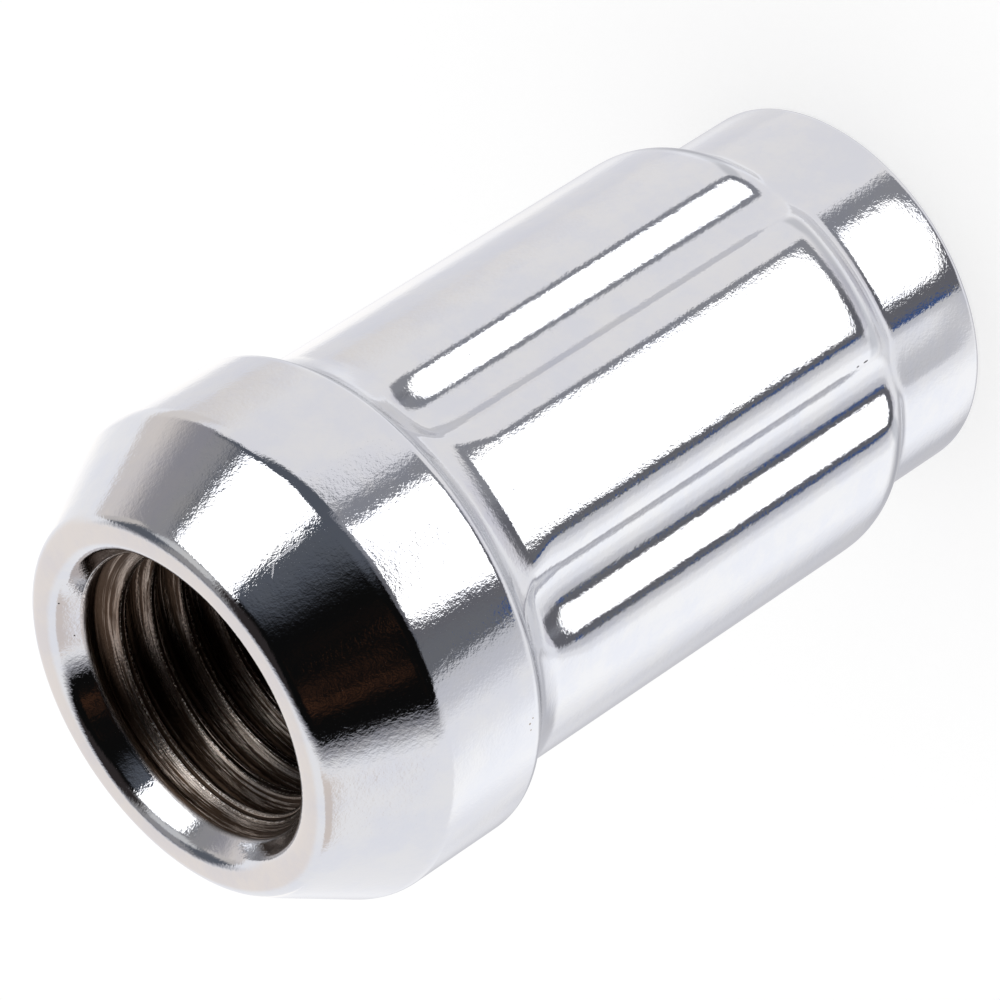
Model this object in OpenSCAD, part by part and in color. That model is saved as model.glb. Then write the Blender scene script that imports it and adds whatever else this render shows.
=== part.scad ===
// Closed-end wheel nut with a conical seat and a key body cut by open-ended flutes.
// The nut stands on its closed end: Z = 0 is the closed face and the threaded mouth points up.

/* [Overall] */
// Height of the nut from its closed face to the lip of its mouth
nut_h = 35; // [30:0.05:45]
// Diameter of the collar, the widest part of the nut
collar_d = 20; // [17:0.1:24]

/* [Seat] */
// Width of the flat lip between the countersink and the seat
lip_w = 1.125; // [0.8:0.025:1.5]
// Full angle of the conical seat
seat_angle = 60; // [50:1:75]
// Height of the straight side of the collar
collar_h = 4.7; // [3:0.05:7]
// Radius of the edge between the seat and the collar
seat_edge_r = 0.2; // [0.1:0.05:1]
// Radius of the collar's other edge, towards the key body
collar_edge_r = 1; // [0.2:0.05:1.1]
// Angle from the axis of the collar's underside
neck_angle = 56; // [45:1:60]
// Radius of the fillet between the collar and the key body
neck_r = 1.7; // [0.8:0.05:1.75]

/* [Key body] */
// Step in radius from the collar in to the lands of the key body
collar_step = 1.25; // [1.2:0.05:2]
// Radius of the rounded lower edge of the lands
body_edge_r = 1; // [0.3:0.05:1.05]
// Height above the closed face of the corner where lands and shoulder meet
body_base_h = 5.6; // [4:0.1:8]

/* [Cap] */
// Step in radius from the lands in to the plain cap
cap_step = 1.1; // [1.05:0.05:1.4]
// Radius of the edge of the closed face
cap_edge_r = 0.35; // [0.2:0.05:1.2]
// Angle from the axis of the shoulder between the cap and the lands
shoulder_angle = 45; // [35:1:55]
// Radius of the fillet between the shoulder and the cap
shoulder_r = 0.8; // [0.3:0.05:1]

/* [Flutes] */
// Depth of a flute below the lands
flute_depth = 0.95; // [0.6:0.05:1]
// Radius of the hollow of a flute
flute_r = 1.95; // [1.5:0.05:2.2]
// Radius of the rounded edges of a flute
flute_edge_r = 1.8; // [0.8:0.05:2]
// Angle between the two flutes of a pair
flute_pair_angle = 60; // [50:1:90]
// Number of pairs of flutes round the body
flute_pairs = 2; // [1:1:2]
// Distance below the collar at which the flutes start to run out
flute_gap = 3.9; // [3.8:0.1:8]
// Radius of the sweep by which the floor of a flute rises out of the body
flute_sweep_r = 3.4; // [2.4:0.1:3.4]

/* [Thread bore] */
// Diameter of the plain bore, the minor diameter of the thread
bore_d = 10.38; // [8.5:0.02:10.6]
// Metal left between the drilled bottom of the bore and the closed face
end_wall = 4.4; // [3:0.1:10]
// Step in radius from the bore out to the countersink's edge at the lip
sink_w = 1.335; // [0.9:0.005:1.5]
// Full angle of the countersink
mouth_angle = 60; // [60:5:120]
// Radius of the rounded edges of the lip
lip_edge_r = 0.35; // [0.1:0.05:0.4]
// Full angle of the drilled bottom of the bore
drill_angle = 118; // [90:2:140]

/* [Hidden] */
// Facets of a full turn in the preview
$fn = 64;
// Spare length by which a cutter reaches past what it cuts
over = 1;
collar_r = collar_d / 2;
body_r = collar_r - collar_step;
cap_r = body_r - cap_step;
bore_r = bore_d / 2;
mouth_r = bore_r + sink_w;
lip_r = mouth_r + lip_w;
collar_top_z = nut_h - (collar_r - lip_r) / tan(seat_angle / 2);
collar_base_z = collar_top_z - collar_h;
neck_z = collar_base_z - collar_step / tan(neck_angle);
cap_top_z = body_base_h - cap_step / tan(shoulder_angle);
bore_base_z = end_wall + bore_r / tan(drill_angle / 2);
// Corners of the outside, from the middle of the closed face to the mouth, each with its edge radius
OUTSIDE = [
    [0, 0, 0],
    [cap_r, 0, cap_edge_r],
    [cap_r, cap_top_z, shoulder_r],
    [body_r, body_base_h, body_edge_r],
    [body_r, neck_z, neck_r],
    [collar_r, collar_base_z, collar_edge_r],
    [collar_r, collar_top_z, seat_edge_r],
    [lip_r, nut_h, lip_edge_r],
    [mouth_r, nut_h, lip_edge_r],
    [bore_r, nut_h - sink_w / tan(mouth_angle / 2), 0],
    [bore_r, bore_base_z, 0],
    [0, end_wall, 0],
];
// Distance from the nut's axis to the centre of a flute's hollow, and to that of its rounded edges
flute_axis_r = body_r - flute_depth + flute_r;
edge_axis_r = body_r - flute_edge_r;
edge_to_hollow = flute_r + flute_edge_r;
// Angle at the nut's axis between the middle of a flute and the centre of its rounded edge
edge_turn = acos((edge_axis_r ^ 2 + flute_axis_r ^ 2 - edge_to_hollow ^ 2) / (2 * edge_axis_r * flute_axis_r));
edge_centre = edge_axis_r * [cos(edge_turn), sin(edge_turn)];
// Where the rounded edge leaves the land, and where it meets the hollow
edge_start = body_r * [cos(edge_turn), sin(edge_turn)];
edge_end = edge_centre + ([flute_axis_r, 0] - edge_centre) * flute_edge_r / edge_to_hollow;
// Height at which the flutes start to run out towards the collar, and the centre of that sweep
flute_top_z = collar_base_z - flute_gap;
sweep_axis_r = body_r - flute_depth + flute_sweep_r;

function unit(v) = v / norm(v);
function xy(v) = [v.x, v.y];
// Positive where the outline turns left at corner i, as it does at the nut's outer edges
function turn(i) = cross(xy(OUTSIDE[i] - OUTSIDE[i - 1]), xy(OUTSIDE[i + 1] - OUTSIDE[i]));

// The sliver between corner i of the outside and the arc that rounds it
module corner_sliver(i) {
    corner = xy(OUTSIDE[i]);
    back = unit(xy(OUTSIDE[i - 1]) - corner);
    ahead = unit(xy(OUTSIDE[i + 1]) - corner);
    r = OUTSIDE[i].z;
    half = acos(back * ahead) / 2;
    centre = corner + unit(back + ahead) * r / sin(half);
    difference() {
        polygon([corner, corner + back * r / tan(half), centre, corner + ahead * r / tan(half)]);
        translate(centre) circle(r = r);
    }
}

// Half of the nut's lengthwise section, with its outer edges rounded and its inner corners filled
module half_section() {
    rounded = [for (i = [1:len(OUTSIDE) - 2]) if (OUTSIDE[i].z > 0) i];
    difference() {
        union() {
            polygon([for (p = OUTSIDE) xy(p)]);
            for (i = rounded) if (turn(i) < 0) corner_sliver(i);
        }
        for (i = rounded) if (turn(i) > 0) corner_sliver(i);
    }
}

// Cross-section of what a flute takes away: X runs out from the nut's axis, Y across the flute
module flute_section() {
    difference() {
        polygon([
            edge_end,
            edge_start,
            [flute_axis_r, edge_start.y],
            [flute_axis_r, -edge_start.y],
            [edge_start.x, -edge_start.y],
            [edge_end.x, -edge_end.y],
        ]);
        for (side = [-1, 1]) translate([edge_centre.x, side * edge_centre.y]) circle(r = flute_edge_r);
    }
    intersection() {
        translate([flute_axis_r, 0]) circle(r = flute_r);
        translate([0, -flute_r]) square([flute_axis_r, 2 * flute_r]);
    }
}

// One flute: straight and open at the cap, and swung out of the body towards the collar
module flute() {
    translate([0, 0, -over]) linear_extrude(height = flute_top_z + over) flute_section();
    translate([sweep_axis_r, 0, flute_top_z])
        rotate([90, 0, 180])
            rotate_extrude(angle = 90) translate([sweep_axis_r, 0]) mirror([1, 0]) flute_section();
}

module wheel_nut() {
    color([0.80, 0.81, 0.83])
        difference() {
            rotate_extrude() half_section();
            for (pair = [0:flute_pairs - 1])
                for (side = [-0.5, 0.5])
                    rotate([0, 0, pair * 360 / flute_pairs + side * flute_pair_angle]) flute();
        }
}

wheel_nut();
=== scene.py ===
import bpy
import numpy as np
from mathutils import Matrix, Vector


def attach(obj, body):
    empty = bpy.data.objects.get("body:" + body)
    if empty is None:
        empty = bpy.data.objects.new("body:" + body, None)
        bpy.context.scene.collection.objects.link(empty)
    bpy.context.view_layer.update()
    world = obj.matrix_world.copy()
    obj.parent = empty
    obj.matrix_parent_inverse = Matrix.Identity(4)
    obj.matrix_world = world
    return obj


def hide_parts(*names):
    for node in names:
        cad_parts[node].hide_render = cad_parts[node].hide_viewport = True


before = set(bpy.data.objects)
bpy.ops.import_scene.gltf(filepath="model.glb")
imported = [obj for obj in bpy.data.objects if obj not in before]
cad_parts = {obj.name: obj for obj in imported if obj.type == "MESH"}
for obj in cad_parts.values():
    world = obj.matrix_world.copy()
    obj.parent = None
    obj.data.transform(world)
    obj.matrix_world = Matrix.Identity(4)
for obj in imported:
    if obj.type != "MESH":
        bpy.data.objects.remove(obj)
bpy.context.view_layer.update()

# The nut's body
# The real nut is cold-forged steel, turned at the seat, tapped M12x1.5 and chrome-plated in one piece.
# Its mesh is one closed skin: an outside wall in rings, and a bore wall whose rows climb with the thread.
MM = 0.001
nut_height = 35 * MM
collar_radius = 10 * MM
lip_radius = 7.65 * MM
mouth_radius = 6.525 * MM
body_radius = 8.75 * MM
cap_radius = 7.65 * MM
seat_slope = np.tan(np.radians(30))
neck_slope = np.tan(np.radians(56))
collar_top = nut_height - (collar_radius - lip_radius) / seat_slope
collar_base = collar_top - 4.7 * MM
neck_height = collar_base - (collar_radius - body_radius) / neck_slope
body_base = 5.6 * MM
cap_top = body_base - (body_radius - cap_radius)
cap_edge = 0.35 * MM
cap_fillet = 0.9 * MM
collar_edge = 0.6 * MM
seat_edge = 1.2 * MM
lip_edge = 0.8 * MM
# How far the blends of the shoulder edge and of the neck reach, measured outwards
shoulder_blend = 0.85 * MM
neck_blend = 1.4 * MM

flute_places = np.radians([-150, -30, 30, 150])
flute_depth = 0.95 * MM
flute_hollow = 1.95 * MM
flute_edge = 1.8 * MM
flute_top = collar_base - 2.7 * MM
flute_sweep = 3.4 * MM
flute_easing = 1.5 * MM
# The flutes' edges are softened towards their closed ends, from soft_start over soft_run
flute_tip_softness = 0.3 * MM
soft_start = flute_top - 1 * MM
soft_run = 3 * MM
hollow_axis = body_radius - flute_depth + flute_hollow
sweep_axis = body_radius - flute_depth + flute_sweep
edge_axis = body_radius - flute_edge
edge_reach = flute_hollow + flute_edge
edge_turn = np.arccos((edge_axis**2 + hollow_axis**2 - edge_reach**2) / (2 * edge_axis * hollow_axis))
edge_centre = edge_axis * np.array([np.cos(edge_turn), np.sin(edge_turn)])
edge_start = body_radius * np.sin(edge_turn)
edge_end = edge_centre[1] * flute_hollow / edge_reach

# Columns of the mesh round the nut. They stand 2.4 times closer over the flutes, up to dense_half to each
# side of a flute's middle, and the spacing changes over a few times dense_fade.
COLUMNS = 300
extra_density = 1.4
dense_half = 1.15 * edge_turn
dense_fade = 0.03


def column_angles():
    """Angles round the nut, with an equal share of a density between each and the next. The density is 1,
    and rises by extra_density over the flutes, along a logistic curve."""
    fine = np.linspace(-np.pi, np.pi, 24 * COLUMNS + 1)
    nearest = np.abs(fine[:, None] - flute_places).min(axis=1)
    density = 1 + extra_density / (1 + np.exp((nearest - dense_half) / dense_fade))
    reached = np.concatenate([[0], np.cumsum((density[1:] + density[:-1]) / 2)])
    return np.interp(np.arange(COLUMNS) / COLUMNS, reached / reached[-1], fine)


def arc(corner, before, after, radius, steps):
    """Points on the circle of that radius that touches the two straight runs meeting at a corner. They turn
    about its centre by equal steps, from one touching point to the other."""
    corner, before, after = (np.array(p, float) for p in (corner, before, after))
    back = (before - corner) / np.linalg.norm(before - corner)
    ahead = (after - corner) / np.linalg.norm(after - corner)
    half = np.arccos(back @ ahead) / 2
    centre = corner + (back + ahead) / np.linalg.norm(back + ahead) * radius / np.sin(half)
    start = corner + back * radius / np.tan(half) - centre
    end = corner + ahead * radius / np.tan(half) - centre
    sweep = np.pi - 2 * half
    part = np.linspace(0, 1, steps + 1)[:, None]
    return centre + (np.sin((1 - part) * sweep) * start + np.sin(part * sweep) * end) / np.sin(sweep)


def smooth_smaller(a, b, reach):
    """The smaller of two values, with a parabola of that reach in place of the corner where they cross."""
    overlap = np.maximum(reach - np.abs(a - b), 0) / reach
    return np.minimum(a, b) - overlap**2 * reach / 4


def section_reach(side):
    """How far out the flute's section leaves metal at a distance to one side of the flute's middle."""
    side = np.abs(side)
    hollow = hollow_axis - np.sqrt(np.maximum(flute_hollow**2 - side**2, 0))
    edge = edge_centre[0] + np.sqrt(np.maximum(flute_edge**2 - (side - edge_centre[1]) ** 2, 0))
    return np.where(side < edge_end, hollow, np.where(side < edge_start, edge, 2 * body_radius))


# A radius inside the metal everywhere, and how often the search for the wall halves its range
sure_metal = 0.6 * body_radius
HALVINGS = 36


def fluted_radius(angle, height):
    """Radius of the body at an angle and height: the land's circle, or the flute's section where it is less.
    The section runs straight up to flute_top. Above it, it is swung out about a line across the flute, at
    flute_sweep from its floor, and a parabola over flute_easing to both sides eases the swing in. The radius
    is found by halving the range between one inside the metal and one outside it."""
    off = np.abs(angle[None, :, None] - flute_places).min(axis=2)
    past_top = height[:, None] - flute_top
    eased = np.clip(past_top + flute_easing, 0, None) ** 2 / (4 * flute_easing)
    above = np.where(past_top < flute_easing, eased, past_top)
    low = np.full(np.broadcast_shapes(off.shape, above.shape), sure_metal)
    high = np.full(low.shape, body_radius)
    for _ in range(HALVINGS):
        middle = (low + high) / 2
        out = sweep_axis - middle * np.cos(off)
        reached = sweep_axis - np.sqrt(out**2 + above**2)
        inside = reached < section_reach(middle * np.sin(off))
        low = np.where(inside, middle, low)
        high = np.where(inside, high, middle)
    depth = body_radius - low
    climb = np.clip((height[:, None] - soft_start) / soft_run, 0, 1)
    softness = flute_tip_softness * climb**2 * (3 - 2 * climb)
    return body_radius - np.sqrt(depth**2 + softness**2) + softness


def spread(*stops):
    """Runs of evenly spaced values through a list of (value, steps to the next) stops."""
    runs = [np.linspace(a[0], b[0], a[1], endpoint=False) for a, b in zip(stops[:-1], stops[1:])]
    return np.concatenate(runs)


angles = column_angles()
ring = np.stack([np.cos(angles), np.sin(angles)])

# Closed end: a flat face with a small rounded edge, then the plain cap
face_radii = spread((2.5 * MM, 2), (6.6 * MM, 2), (cap_radius - cap_edge, 0))
edge_arc = arc((cap_radius, 0), (0, 0), (cap_radius, cap_top), cap_edge, 7)
end_rows = np.concatenate([np.stack([face_radii, 0 * face_radii], axis=1), edge_arc])

# Wall from the cap to the collar: the shoulder's cone, the fluted body and the neck's cone, blended. Each
# height stands with the number of rows up to the next one, and rows lie closer where the wall bends.
wall_heights = spread(
    (1.3 * MM, 3),
    (3.9 * MM, 26),
    (6.4 * MM, 8),
    (7.3 * MM, 7),
    (flute_top - 1.6 * MM, 38),
    (neck_height, 18),
    (collar_base - 0.24 * MM, 1),
    (collar_base, 0),
)
far_up_cone = (cap_radius + nut_height, cap_top + nut_height)
shoulder_arc = arc((cap_radius, cap_top), (cap_radius, 0), far_up_cone, cap_fillet, 8)
shoulder_line = np.concatenate([[(cap_radius, 0)], shoulder_arc, [far_up_cone]])
shoulder_radius = np.interp(wall_heights, shoulder_line[:, 1], shoulder_line[:, 0])
neck_radius = body_radius + (wall_heights - neck_height) * neck_slope
body = fluted_radius(angles, wall_heights)
# The lands drop a little before the shoulder, and the whole body swells a little before the neck
shoulder_drop, drop_start, drop_run = 0.045 * MM, 7.1 * MM, 1.1 * MM
neck_swell, swell_start, swell_run = 0.16 * MM, 23.95 * MM, 1 * MM
land_fade = 0.2 * MM
on_land = np.clip(1 - (body_radius - body) / land_fade, 0, 1)
into_shoulder = np.clip((drop_start - wall_heights) / drop_run, 0, 1)
into_neck = np.clip((wall_heights - swell_start) / swell_run, 0, 1)
into_neck = into_neck**2 * (3 - 2 * into_neck)
body = body + neck_swell * into_neck[:, None] - shoulder_drop * into_shoulder[:, None] ** 2 * on_land
wall_radius = smooth_smaller(body, shoulder_radius[:, None], shoulder_blend)
wall_radius = -smooth_smaller(-wall_radius, -neck_radius[:, None], neck_blend)

# Collar, conical seat, rounded lip and countersink
rear_corner, front_corner = (collar_radius, collar_base), (collar_radius, collar_top)
lip_outside, lip_inside = (lip_radius, nut_height), (mouth_radius, nut_height)
rear_arc = arc(rear_corner, (body_radius, neck_height), front_corner, collar_edge, 10)
front_arc = arc(front_corner, rear_corner, lip_outside, seat_edge, 8)
lip_arc = arc(lip_outside, front_corner, lip_inside, lip_edge, 8)
sink_slope = np.tan(np.radians(30))
sink_radius = 6.08 * MM
sink_end = (sink_radius, nut_height - (mouth_radius - sink_radius) / sink_slope)
inner_arc = arc(lip_inside, lip_outside, sink_end, lip_edge, 8)
band = spread((rear_arc[-1, 1], 4), (front_arc[0, 1], 0))[1:]
cone = spread((0, 6), (1, 0))[1:, None]
collar_rows = np.concatenate(
    [
        rear_arc,
        np.stack([0 * band + collar_radius, band], axis=1),
        front_arc,
        front_arc[-1] + cone * (lip_arc[0] - front_arc[-1]),
        lip_arc,
        inner_arc,
        [sink_end],
    ]
)


def turned(rows):
    """Rings of points from rows of (radius, height): each radius times the unit circle, at its height."""
    flat = rows[:, :1, None] * ring.T[None]
    return np.concatenate([flat, np.broadcast_to(rows[:, 1, None, None], flat.shape[:2] + (1,))], axis=2)


wall = np.stack(
    [
        wall_radius * ring[0],
        wall_radius * ring[1],
        np.broadcast_to(wall_heights[:, None], wall_radius.shape),
    ],
    axis=2,
)
outside = np.concatenate([turned(end_rows), wall, turned(collar_rows)])

# The thread
# M12x1.5 right-hand thread tapped into a blind hole: crest flats at the minor diameter, 60 degree flanks.
# Its rows climb one pitch a turn, so that every crest and root runs along a row of the mesh.
pitch = 1.5 * MM
minor_radius = 5.19 * MM
major_radius = 6 * MM
bore_base = 7.5 * MM
drill_half_angle = np.radians(59)
drill_tip = bore_base - minor_radius / np.tan(drill_half_angle)
# Where in a turn the rows run, as shares of the pitch from the middle of the crest
turn_phases = np.array([-0.15, -0.11, 0.11, 0.15, 0.41, 0.45, 0.55, 0.59])
thread_turns = 17
# Turns above the start of the full bore at which the first crest crosses the side facing the middle land
first_crest = 1.38
# Shares of the pitch from the crest's middle to its rim and to the foot of its flank
crest_rim = 0.125
flank_foot = 0.4375
# The cut fades in above the blind end, and out below the mouth
blind_fade, blind_run = bore_base + 1.2 * pitch, 1.5 * pitch
mouth_fade, mouth_run = nut_height - 0.88 * MM, 0.7 * MM
# Past the thread's end, what is left of its rows lies close together, under the countersink
row_squeeze = 0.02
thread_mouth = 6.04 * MM
thread_end = nut_height - (mouth_radius - thread_mouth) / sink_slope
row_phase = (np.arange(thread_turns + 1)[:, None] + turn_phases).ravel()
rows_a_turn = len(turn_phases)


def thread_points():
    """Points of the bore wall. Height is the row's phase plus the turn, times the pitch, squeezed past the
    thread's end. Radius is the minor radius plus the thread's depth at that phase, times both fades, or the
    countersink's cone where that is wider."""
    height = bore_base + pitch * (row_phase[:, None] + first_crest + angles / (2 * np.pi))
    height = np.minimum(height, thread_end + row_squeeze * (height - thread_end))
    sunk = mouth_radius - (nut_height - height) * sink_slope
    off_crest = np.abs((row_phase + 0.5) % 1 - 0.5)
    down_flank = np.clip((off_crest - crest_rim) / (flank_foot - crest_rim), 0, 1)
    depth = down_flank[:, None] * (major_radius - minor_radius)
    fade_in = np.clip((height - blind_fade) / blind_run, 0, 1)
    fade_out = np.clip((mouth_fade - height) / mouth_run, 0, 1)
    radius = np.maximum(minor_radius + depth * fade_in * fade_out, sunk)
    return np.stack([radius * ring[0], radius * ring[1], height + 0 * radius], axis=2)


thread = thread_points()

# One closed skin from the closed face's middle, up the outside, over the lip and down to the drilled end
outer_rows = len(outside)
thread_rows = len(thread)
points = np.concatenate(
    [outside.reshape(-1, 3), thread.reshape(-1, 3), [(0, 0, 0)], [(0, 0, drill_tip)]]
)
outer = np.arange(outer_rows * COLUMNS).reshape(outer_rows, COLUMNS)
inner = outer.size + np.arange(thread_rows * COLUMNS).reshape(thread_rows, COLUMNS)
face_middle = len(points) - 2
bore_middle = len(points) - 1


def quads(a, b):
    """Four-sided faces between rows a and b of a grid that closes round the turn."""
    return np.stack([a, np.roll(a, -1, axis=-1), np.roll(b, -1, axis=-1), b], axis=-1).reshape(-1, 4)


def climbing_quads(grid):
    """Faces of the thread's grid: its last column meets its first one a whole turn of rows higher up."""
    low, high = grid[:-1], grid[1:]
    inside = np.stack([low[:, :-1], high[:, :-1], high[:, 1:], low[:, 1:]], axis=-1).reshape(-1, 4)
    left, right = grid[rows_a_turn:, 0], grid[:-rows_a_turn, -1]
    seam = np.stack([right[:-1], right[1:], left[1:], left[:-1]], axis=-1)
    return np.concatenate([inside, seam])


four_sided = np.concatenate(
    [
        quads(outer[:-1], outer[1:]),
        climbing_quads(inner),
        np.stack([inner[-1, :-1], outer[-1, :-1], outer[-1, 1:], inner[-1, 1:]], axis=-1),
    ]
)
# The step of one pitch at the seam is closed by fans, at the mouth and at the blind end
mouth_edge = np.concatenate([[outer[-1, -1]], inner[-rows_a_turn - 1 :, -1][::-1], [inner[-1, 0]]])
blind_edge = np.concatenate([inner[0], inner[: rows_a_turn + 1, 0][::-1]])
fans = np.concatenate(
    [
        np.stack([np.roll(outer[0], -1), outer[0], np.full(COLUMNS, face_middle)], axis=1),
        np.stack([mouth_edge[:-1], np.full(len(mouth_edge) - 1, outer[-1, 0]), mouth_edge[1:]], axis=1),
        np.stack([blind_edge[:-1], blind_edge[1:], np.full(len(blind_edge) - 1, bore_middle)], axis=1),
    ]
)
skin = bpy.data.meshes.new("nut_skin")
skin.from_pydata(points.tolist(), [], four_sided.tolist() + fans.tolist())
skin.validate()
skin.polygons.foreach_set("use_smooth", np.ones(len(skin.polygons), bool))
skin.update()
nut = bpy.data.objects.new("nut_skin", skin)
bpy.context.collection.objects.link(nut)
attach(nut, "root")
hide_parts("wheel_nut")


# Chrome plate
# Bright decorative chrome over nickel. It takes every ripple of the forging, so mirrored edges are ragged.
# The plating hardly reaches into the thread, which shows grey-brown nickel with dark speckles.
class Value:
    """A number socket of a shader tree, for use in Python expressions. Each operation adds a Math node."""

    def __init__(self, socket):
        self.socket = socket

    def math(self, operation, *others):
        node = shader_node(self.socket.id_data, "ShaderNodeMath", {"operation": operation})
        for place, other in zip(node.inputs, (self,) + others):
            feed(place, other)
        return Value(node.outputs[0])

    def __add__(self, other):
        return self.math("ADD", other)

    def __sub__(self, other):
        return self.math("SUBTRACT", other)

    def __rsub__(self, other):
        return (self * -1).math("ADD", other)

    def __mul__(self, other):
        return self.math("MULTIPLY", other)

    def __truediv__(self, other):
        return self.math("DIVIDE", other)

    def __pow__(self, other):
        return self.math("POWER", other)

    __radd__ = __add__
    __rmul__ = __mul__

    def step(self, low, high):
        """0 below low and 1 above high, with a smooth slope between. Low may be the larger of the two."""
        ramp = shader_node(
            self.socket.id_data,
            "ShaderNodeMapRange",
            {"interpolation_type": "SMOOTHSTEP"},
            {"Value": self, "From Min": low, "From Max": high},
        )
        return Value(ramp.outputs["Result"])

    def window(self, low, high, soft):
        """1 between low and high and 0 outside, with slopes of the width soft."""
        return self.step(low - soft / 2, low + soft / 2) * self.step(high + soft / 2, high - soft / 2)


def feed(place, given):
    """Sets a socket to a plain value, or links to it a Value or another node's socket."""
    if isinstance(given, Value):
        given = given.socket
    if isinstance(given, bpy.types.NodeSocket):
        place.id_data.links.new(given, place)
    else:
        place.default_value = given


def shader_node(tree, kind, settings=None, sockets=None):
    """A node of a kind, its settings first and then its sockets, given by name or number."""
    node = tree.nodes.new(kind)
    for name, setting in (settings or {}).items():
        setattr(node, name, setting)
    for name, given in (sockets or {}).items():
        feed(node.inputs[name], given)
    return node


def mixed(tree, part, first, second):
    """The first colour where part is 0, and the second where it is 1."""
    mix = shader_node(tree, "ShaderNodeMix", {"data_type": "RGBA"}, {0: part, 6: first, 7: second})
    return mix.outputs[2]


def painted(tree, start, areas):
    """A colour with areas laid over it one after another, each given by its mask and its colour."""
    for where, colour in areas:
        start = mixed(tree, where, start, colour)
    return start


def noise(tree, place, scale, detail=2.0, roughness=0.5):
    """Soft random patches from 0 to 1, with that many of them to the metre."""
    sockets = {"Vector": place, "Scale": scale, "Detail": detail, "Roughness": roughness}
    return Value(shader_node(tree, "ShaderNodeTexNoise", {}, sockets).outputs[0])


def parts_of(tree, vector):
    """The three numbers of a vector."""
    split = shader_node(tree, "ShaderNodeSeparateXYZ", {}, {0: vector})
    return [Value(out) for out in split.outputs]


def empty_material(name):
    """A material with an empty tree, and its output node."""
    material = bpy.data.materials.new(name)
    material.use_nodes = True
    material.node_tree.nodes.clear()
    return material, shader_node(material.node_tree, "ShaderNodeOutputMaterial")


# Tones of the plate, of its marks and of its painted corner shade, and of the nickel in the bore with what
# lies on it and its painted shade
PLATE_DIM, PLATE_BRIGHT = (0.66, 0.67, 0.71, 1), (0.70, 0.70, 0.71, 1)
CORNER_SHADE = (0.50, 0.51, 0.54, 1)
PIT_BLACK = (0.03, 0.028, 0.03, 1)
SPECK_BROWN = (0.26, 0.19, 0.13, 1)
SCRATCH_WHITE = (0.95, 0.96, 1, 1)
NICKEL_DARK, NICKEL_PALE = (0.38, 0.315, 0.27, 1), (0.86, 0.78, 0.71, 1)
RUBBED_NICKEL = (0.97, 0.92, 0.86, 1)
BORE_SIDE_SHADE = (0.20, 0.15, 0.12, 1)
DIRT_AND_ROOT_SHADE = (0.07, 0.046, 0.032, 1)
plate, plate_out = empty_material("chrome_plate")
tree = plate.node_tree
place = shader_node(tree, "ShaderNodeTexCoord").outputs["Object"]
across, along, height = parts_of(tree, place)
reach = (across * across + along * along) ** 0.5
off_sink = reach - (mouth_radius - (nut_height - height) * sink_slope)
# The thread: what lies off the countersink's cone, or below it, within the bore's width and above its floor
sink_foot = nut_height - 0.95 * MM
bore_reach = 6.05 * MM
bore_floor = 6.4 * MM
below_sink = height.step(sink_foot, sink_foot - 0.25 * MM)
in_thread = off_sink.step(0.02 * MM, 0.1 * MM).math("MAXIMUM", below_sink)
in_thread = in_thread * reach.step(bore_reach + 0.05 * MM, bore_reach)
in_thread = in_thread * height.step(bore_floor, bore_floor + 0.4 * MM)


def joined(x, y, z):
    """A vector from three numbers."""
    return shader_node(tree, "ShaderNodeCombineXYZ", {}, {0: x, 1: y, 2: z}).outputs[0]


# Ripples of the forging under the plate, the plate's own grain, and burrs that the tap left
ripples = noise(tree, place, 1100, 3, 0.6)
grain = noise(tree, place, 7000, 2, 0.7)
burrs = noise(tree, place, 11000, 1, 0.5)
# Marks of the tap follow the thread: they depend on the place across one turn, and change slowly along it
turns_up = (height - bore_base) * (2 * np.pi / pitch) - 2 * np.pi * first_crest
turn_angle = turns_up - along.math("ARCTAN2", across)
crest = turn_angle.math("COSINE")
flank = turn_angle.math("SINE")
tap_place = joined(crest * 4 + across * 200, flank * 4 + along * 200, height * 1400)
tap_marks = noise(tree, tap_place, 1, 4, 0.7)
soil = noise(tree, joined(crest * 0.8 + across * 420, flank * 0.8 + along * 420, height * 1300), 1, 4, 0.7)
crest_seam = crest.step(0.95, 0.99)
# Painted shade: one side of the bore is coloured darker
shaded_bore_side = ((across * -0.77 + along * 0.64) / reach).step(0.35, 0.95)
# Dirt lies along the tap marks and in the crest's seam. Its slight lean towards the roots and the darker
# side of the bore is painted shade.
dirt_and_root_shade = (tap_marks * 1.5 + soil * 0.6 - crest * 0.1 + crest_seam * 0.3 + shaded_bore_side * 0.03).step(0.92, 1.12)
# Pits are rare black specks, and rubs are faint dull lines
cells = shader_node(tree, "ShaderNodeTexVoronoi", {}, {"Vector": place, "Scale": 330.0})
cell_red = shader_node(tree, "ShaderNodeSeparateColor", {}, {0: cells.outputs["Color"]}).outputs[0]
pits = Value(cells.outputs["Distance"]).step(0.045, 0.025) * Value(cell_red).step(0.80, 0.84)
rubs = noise(tree, joined(across * 0.25, along * 0.25, height), 2100, 2, 0.5).step(0.70, 0.76)


def away_from(spot):
    """The distance from a spot that is given in millimetres."""
    sockets = {0: place, 1: Vector(spot) * MM}
    gap = shader_node(tree, "ShaderNodeVectorMath", {"operation": "DISTANCE"}, sockets)
    return Value(gap.outputs["Value"])


def mark(start, end, half_width):
    """1 inside the ellipse that has its foci at two places, and 0 outside it. The distances to both foci,
    added up, are compared with their sum on the ellipse's rim."""
    length = (Vector(end) - Vector(start)).length * MM
    rim = (length**2 + (2 * half_width * MM) ** 2) ** 0.5
    return (away_from(start) + away_from(end)).step(rim, length + 0.35 * (rim - length))


def dot(centre, half_width):
    """A round mark."""
    return mark(centre, centre, half_width)


def largest(masks):
    """1 wherever one of the masks is 1."""
    whole = masks[0]
    for mask in masks[1:]:
        whole = whole.math("MAXIMUM", mask)
    return whole


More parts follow.
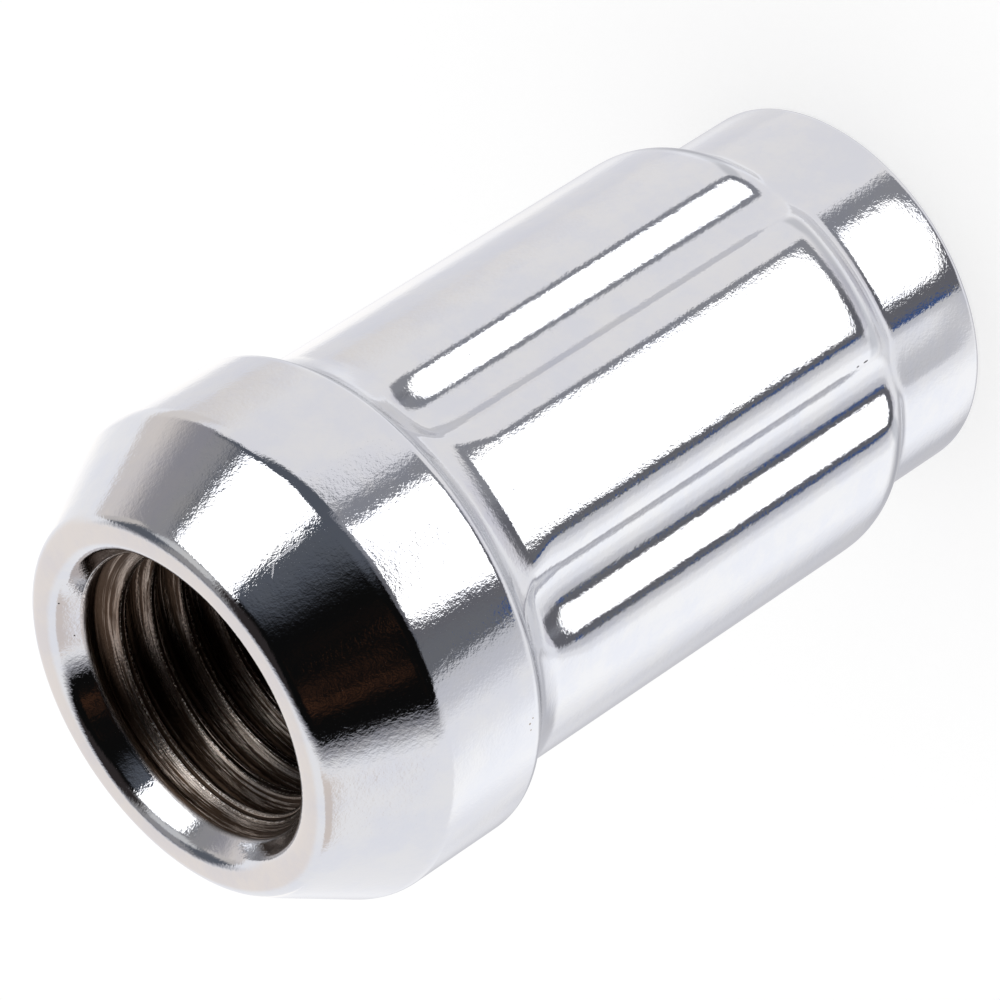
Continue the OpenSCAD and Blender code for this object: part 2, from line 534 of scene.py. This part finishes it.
# Single marks, in millimetres: three pits in a flute and two on the lip, a scratch on the conical seat that
# bends once and has a short burr across it, and brown specks at the collar's edge
flute_pits = [
    mark((7.72, -3.05, 6.24), (7.72, -3.05, 6.46), 0.06),
    mark((7.72, -3.05, 6.72), (7.72, -3.04, 6.84), 0.05),
    dot((7.74, -2.99, 7.3), 0.05),
]
lip_pits = [
    dot((-3.204, 5.52, 34.724), 0.055),
    dot((-4.358, 4.256, 34.249), 0.045),
]
pits = largest([pits] + flute_pits + lip_pits)
scratch_bend = (8.4, 2.48, 33.08)
scratch = largest(
    [
        mark((8.29, 2.0, 33.47), scratch_bend, 0.035),
        mark(scratch_bend, (9.12, 2.59, 31.84), 0.05),
        mark((8.77, 2.52, 32.44), (8.72, 2.7, 32.43), 0.035),
    ]
)
specks = largest(
    [
        dot((6.83, -7.3, 26.84), 0.06),
        dot((6.96, -7.18, 26.68), 0.045),
        dot((6.6, -7.51, 26.8), 0.045),
    ]
)
cloud = noise(tree, place, 420, 5, 0.7)
plain_relief = ripples * 0.9 + grain * 0.55
thread_relief = tap_marks * 2.6 + burrs * 1.3 - crest_seam * 2.4
relief_height = plain_relief * (1 - in_thread) + thread_relief * in_thread
relief_depth = 0.01 * MM
relief_sockets = {"Strength": 1.0, "Distance": relief_depth, "Height": relief_height}
relief = shader_node(tree, "ShaderNodeBump", {}, relief_sockets)
# Painted shade: the plate's colour is darker and greyer in the corners of the neck and the shoulder
neck_corner_shade = height.window(25.6 * MM, 26.15 * MM, 0.15 * MM) * reach.step(9.9 * MM, 9.8 * MM)
shoulder_corner_shade = height.window(5.6 * MM, 6.1 * MM, 0.25 * MM) * reach.step(8.7 * MM, 8.6 * MM)
painted_corner_shade = neck_corner_shade * reach.step(8.8 * MM, 8.9 * MM) + shoulder_corner_shade * reach.step(8.2 * MM, 8.45 * MM)
plate_colour = painted(
    tree,
    mixed(tree, cloud.step(0.35, 0.65), PLATE_DIM, PLATE_BRIGHT),
    [
        # Painted shade in the corners of the neck and the shoulder
        (painted_corner_shade, CORNER_SHADE),
        (pits, PIT_BLACK),
        (specks, SPECK_BROWN),
        (scratch, SCRATCH_WHITE),
    ],
)
# Burrs along both rims of the crest are rubbed bright
bright_burrs = crest.window(0.82, 0.95, 0.05) * burrs.step(0.50, 0.62)
thread_colour = painted(
    tree,
    mixed(tree, tap_marks.step(0.38, 0.62), NICKEL_DARK, NICKEL_PALE),
    [
        # Painted shade on one side of the bore
        (shaded_bore_side * 0.6, BORE_SIDE_SHADE),
        # Dirt, with some painted shade towards the roots of the thread
        (dirt_and_root_shade, DIRT_AND_ROOT_SHADE),
        (bright_burrs, RUBBED_NICKEL),
    ],
)
dullness = 0.03 + cloud * 0.03 + rubs * 0.08 + pits * 0.4 + scratch * 0.6 + in_thread * (0.15 + dirt_and_root_shade * 0.15)
plate_sockets = {
    "Base Color": mixed(tree, in_thread, plate_colour, thread_colour),
    "Metallic": 1.0,
    "Roughness": dullness,
    "Normal": relief.outputs[0],
}
plate_shader = shader_node(tree, "ShaderNodeBsdfPrincipled", {}, plate_sockets)
feed(plate_out.inputs[0], plate_shader.outputs[0])
skin.materials.append(plate)

# Studio surroundings
# The nut was lit on a pale table by two white softboxes, in a room that is dark round the camera.
# This shell carries that room for the plate to mirror. Only reflections show it, and it lights nothing.
# It is turned against the nut, because the real nut lies on its side on the table.
ROOM_RADIUS = 0.8
table_up = Vector((0.8143, 0.5738, 0.0876))
table_right = Vector((0.4575, -0.5417, -0.7051))
table_front = table_right.cross(table_up)


def shell_points(rings, columns):
    """Points of a ball by latitude and longitude: the rings between its poles, and then the two poles."""
    tilt = np.pi * np.arange(1, rings)[:, None] / rings
    turn = 2 * np.pi * np.arange(columns) / columns
    ball = [np.sin(tilt) * np.cos(turn), np.sin(tilt) * np.sin(turn), np.cos(tilt) + 0 * turn]
    ball = np.stack(ball, axis=2).reshape(-1, 3)
    return ROOM_RADIUS * np.concatenate([ball, [(0, 0, 1)], [(0, 0, -1)]])


# A coarse ball is enough, because its colour depends on direction alone
shell_rings, shell_columns = 24, 48
shell_grid = np.arange((shell_rings - 1) * shell_columns).reshape(-1, shell_columns)
shell_top = np.full(shell_columns, shell_grid.size)
caps = [
    np.stack([shell_top, np.roll(shell_grid[0], -1), shell_grid[0]], axis=1),
    np.stack([shell_top + 1, shell_grid[-1], np.roll(shell_grid[-1], -1)], axis=1),
]
shell = bpy.data.meshes.new("room")
shell.from_pydata(
    shell_points(shell_rings, shell_columns).tolist(),
    [],
    quads(shell_grid[:-1], shell_grid[1:]).tolist() + np.concatenate(caps).tolist(),
)
room = bpy.data.objects.new("room", shell)
room.location = (0, 0, nut_height / 2)
bpy.context.collection.objects.link(room)
for ray in ("camera", "diffuse", "transmission", "volume_scatter", "shadow"):
    setattr(room, "visible_" + ray, False)

room_paint, room_out = empty_material("room")
tree = room_paint.node_tree
out_of_nut = shader_node(tree, "ShaderNodeTexCoord").outputs["Object"]
outward = shader_node(tree, "ShaderNodeVectorMath", {"operation": "NORMALIZE"}, {0: out_of_nut}).outputs[0]


def share(direction):
    """How far the way out of the nut points along a direction, from -1 to 1."""
    sockets = {0: outward, 1: direction}
    product = shader_node(tree, "ShaderNodeVectorMath", {"operation": "DOT_PRODUCT"}, sockets)
    return Value(product.outputs["Value"])


# In degrees: rise is the height above the table's level, and swing is the turn to the right from the front
up, right, front = share(table_up), share(table_right), share(table_front)
rise = up.math("ARCSINE") * np.degrees(1)
swing = right.math("ARCTAN2", front) * np.degrees(1)
back_swing = (right * -1).math("ARCTAN2", front * -1) * np.degrees(1)
TENT = (0.85, 0.84, 0.85, 1)
SOFTBOX = (1.8, 1.8, 1.8, 1)
TABLE = (0.90, 0.90, 0.92, 1)


def past(value, low, high):
    """How far a value lies outside the range from low to high."""
    return ((value - (low + high) / 2).math("ABSOLUTE") - (high - low) / 2).math("MAXIMUM", 0)


# The side wall with a panel in front of it, and the black round the camera with a faint brown smudge
wall_shade = rise.step(24, 30) + swing.step(-110, -104)
side_wall = mixed(tree, wall_shade, (0.56, 0.53, 0.51, 1), (0.30, 0.295, 0.30, 1))
panel = mixed(tree, rise.step(8, 28), (0.70, 0.655, 0.63, 1), (0.30, 0.292, 0.31, 1))
smudge = noise(tree, outward, 5, 4, 0.7).step(0.50, 0.68) * swing.window(4, 36, 14) * rise.window(8, 40, 10)
black = mixed(tree, smudge, (0.004, 0.004, 0.004, 1), (0.045, 0.02, 0.011, 1))
CEILING = (0.095, 0.105, 0.125, 1)
walls = painted(
    tree,
    CEILING,
    [
        # The tent behind the nut and its ends, which reach round to both sides
        (back_swing.window(-84, 43, 8) * rise.step(61, 53), TENT),
        (swing.window(95, 130, 10) * rise.window(-4, 24, 8), (0.74, 0.73, 0.77, 1)),
        (swing.window(-168, -120, 12) * rise.step(30, 18), (0.74, 0.70, 0.67, 1)),
        # The left side: the wall, its panel, a dark gap and the glow under the left softbox
        (swing.window(-127, -45, 12) * rise.step(50, 40), side_wall),
        (swing.window(-142, -119, 8) * rise.step(40, 32), panel),
        (swing.window(-104, -82, 8) * rise.step(32, 24), (0.11, 0.12, 0.14, 1)),
        (swing.window(-98, -60, 14) * rise.window(22, 44, 8), (0.6, 0.6, 0.6, 1)),
        # The front, and its warmer dark to the left
        (swing.window(-48, 70, 8) * rise.step(66, 50), black),
        (swing.window(-60, -25, 10) * rise.step(50, 30), (0.03, 0.025, 0.025, 1)),
        # Things low on the right: a dark one, a pale one under it and a small blue one
        (swing.window(66, 90, 6) * rise.window(5, 20, 5), (0.15, 0.155, 0.17, 1)),
        (swing.window(62, 92, 6) * rise.step(6, 3), (0.58, 0.58, 0.60, 1)),
        (swing.window(81, 86.5, 1.5) * rise.window(4.5, 10, 2), (0.04, 0.09, 0.25, 1)),
    ],
)
# The right softbox is slender with round corners and a dark frame, and leans. The left one is broad.
box_swing, box_rise = 98, 37
box_run = (rise - box_rise) * 0.65 + (swing - box_swing) * 0.75
box_cross = (rise - box_rise) * 0.75 - (swing - box_swing) * 0.65
from_box = (past(box_run, -16, 21) ** 2 + past(box_cross, -4, 3) ** 2) ** 0.5
from_frame = (past(box_run, -15, 26) ** 2 + (past(box_cross, -6, 3) * 0.55) ** 2) ** 0.5
from_left_box = (past(swing, -108, -52) ** 2 + past(rise, 54, 70) ** 2) ** 0.5
frame_tone = mixed(tree, box_run.step(-8, 12), (0.14, 0.14, 0.155, 1), (0.27, 0.275, 0.30, 1))
lamps = [
    (from_frame.step(15, 10), frame_tone),
    (from_box.step(6, 4), SOFTBOX),
    (from_left_box.step(8.5, 5.5), SOFTBOX),
]
# The table is warmer to the left, grey towards its far edges, and darkest where the nut shades it
table = painted(
    tree,
    TABLE,
    [
        (swing.window(-130, -50, 30) * rise.window(-60, -12, 16), (0.88, 0.82, 0.78, 1)),
        (swing.window(58, 100, 16) * rise.step(-17, -4), (0.62, 0.62, 0.65, 1)),
        (back_swing.window(-58, 4, 22) * rise.window(-62, -16, 14), (0.53, 0.53, 0.56, 1)),
        (swing.window(-172, -148, 12) * rise.step(-14, -26), (1.06, 1.04, 1.02, 1)),
        (back_swing.window(2, 18, 8) * rise.step(-23, -15), (0.78, 0.775, 0.80, 1)),
        (swing.window(76, 108, 16) * rise.window(-56, -27, 14), (1.08, 1.085, 1.10, 1)),
        (swing.window(-10, 21, 8) * rise.window(-56, -17, 8), (0.70, 0.63, 0.59, 1)),
        (swing.window(-100, 58, 20) * rise.step(-16, -1), (0.2, 0.2, 0.22, 1)),
    ],
)
surroundings = painted(tree, walls, lamps + [(rise.step(0.5, -1.5), table)])
# A little over 1, because the plate gives back about two thirds of what it mirrors
ROOM_STRENGTH = 1.17
glow = shader_node(tree, "ShaderNodeEmission", {}, {"Color": surroundings, "Strength": ROOM_STRENGTH})
feed(room_out.inputs[0], glow.outputs[0])
room_paint.cycles.emission_sampling = "NONE"
shell.materials.append(room_paint)

# Floor and light
# A wide plain floor under the closed end, white to the camera, with the nut's own soft shadow on it.
# An even white sky lights both. From below the floor is clear, so that the closed face can be looked at.
floor_mesh = bpy.data.meshes.new("floor")
half_floor = 1.5
floor_corners = half_floor * np.array([(-1, -1, 0), (1, -1, 0), (1, 1, 0), (-1, 1, 0)])
floor_mesh.from_pydata(floor_corners.tolist(), [], [(0, 1, 2, 3)])
floor = bpy.data.objects.new("floor", floor_mesh)
under_nut = -0.02 * MM
floor.location = (0, 0, under_nut)
bpy.context.collection.objects.link(floor)
floor.visible_glossy = False
floor_paint, floor_out = empty_material("floor")
tree = floor_paint.node_tree
# Lit and glowing at once, the floor is white to the camera and still takes a shadow
WHITE = (1, 1, 1, 1)
FLOOR_GREY = (0.45, 0.45, 0.45, 1)
FLOOR_GLOW = 0.62
lit = shader_node(tree, "ShaderNodeBsdfDiffuse", {}, {"Color": FLOOR_GREY})
white = shader_node(tree, "ShaderNodeEmission", {}, {"Color": WHITE, "Strength": FLOOR_GLOW})
both = shader_node(tree, "ShaderNodeAddShader", {}, {0: lit.outputs[0], 1: white.outputs[0]})
seen = shader_node(tree, "ShaderNodeLightPath").outputs["Is Camera Ray"]
top_side = shader_node(tree, "ShaderNodeMixShader", {}, {0: seen, 1: lit.outputs[0], 2: both.outputs[0]})
from_below = shader_node(tree, "ShaderNodeNewGeometry").outputs["Backfacing"]
clear = shader_node(tree, "ShaderNodeBsdfTransparent")
sides = {0: from_below, 1: top_side.outputs[0], 2: clear.outputs[0]}
one_sided = shader_node(tree, "ShaderNodeMixShader", {}, sides)
feed(floor_out.inputs[0], one_sided.outputs[0])
floor_mesh.materials.append(floor_paint)

# The sky is pure white where it is seen or mirrored, and lights a little more weakly
world = bpy.data.worlds.new("studio")
bpy.context.scene.world = world
world.use_nodes = True
tree = world.node_tree
tree.nodes.clear()
path = shader_node(tree, "ShaderNodeLightPath")
looked_at = Value(path.outputs["Is Camera Ray"]) + Value(path.outputs["Is Glossy Ray"])
looked_at = looked_at + Value(path.outputs["Is Transmission Ray"])
SKY_LIGHT = 0.9
soft_light = shader_node(tree, "ShaderNodeBackground", {}, {"Color": WHITE, "Strength": SKY_LIGHT})
white_sky = shader_node(tree, "ShaderNodeBackground", {}, {"Color": WHITE, "Strength": 1.0})
skies = {0: looked_at.step(0, 1), 1: soft_light.outputs[0], 2: white_sky.outputs[0]}
sky = shader_node(tree, "ShaderNodeMixShader", {}, skies)
feed(shader_node(tree, "ShaderNodeOutputWorld").inputs[0], sky.outputs[0])

# Camera
# A long lens that looks at the nut as the photograph does, from 33 degrees above the closed end's plane.
# The nut stands here and lies on its side in the photograph, so the camera is rolled to match.
camera_rise = np.radians(32.953)
camera_roll = np.radians(-122.8)
level_right = Vector((0, 1, 0))
level_up = Vector((-np.sin(camera_rise), 0, np.cos(camera_rise)))
camera_right = level_right * float(np.cos(camera_roll)) + level_up * float(np.sin(camera_roll))
camera_up = level_up * float(np.cos(camera_roll)) - level_right * float(np.sin(camera_roll))
camera_back = camera_right.cross(camera_up)
camera = bpy.data.objects.new("camera", bpy.data.cameras.new("camera"))
camera.data.lens = 241.07
camera.data.sensor_width = 36
camera_place = (0.2093, 0.0, 0.154)
turned_axes = Matrix((camera_right, camera_up, camera_back)).transposed().to_4x4()
camera.matrix_world = Matrix.Translation(camera_place) @ turned_axes
bpy.context.collection.objects.link(camera)
bpy.context.scene.camera = camera
bpy.context.scene.view_settings.view_transform = "Standard"
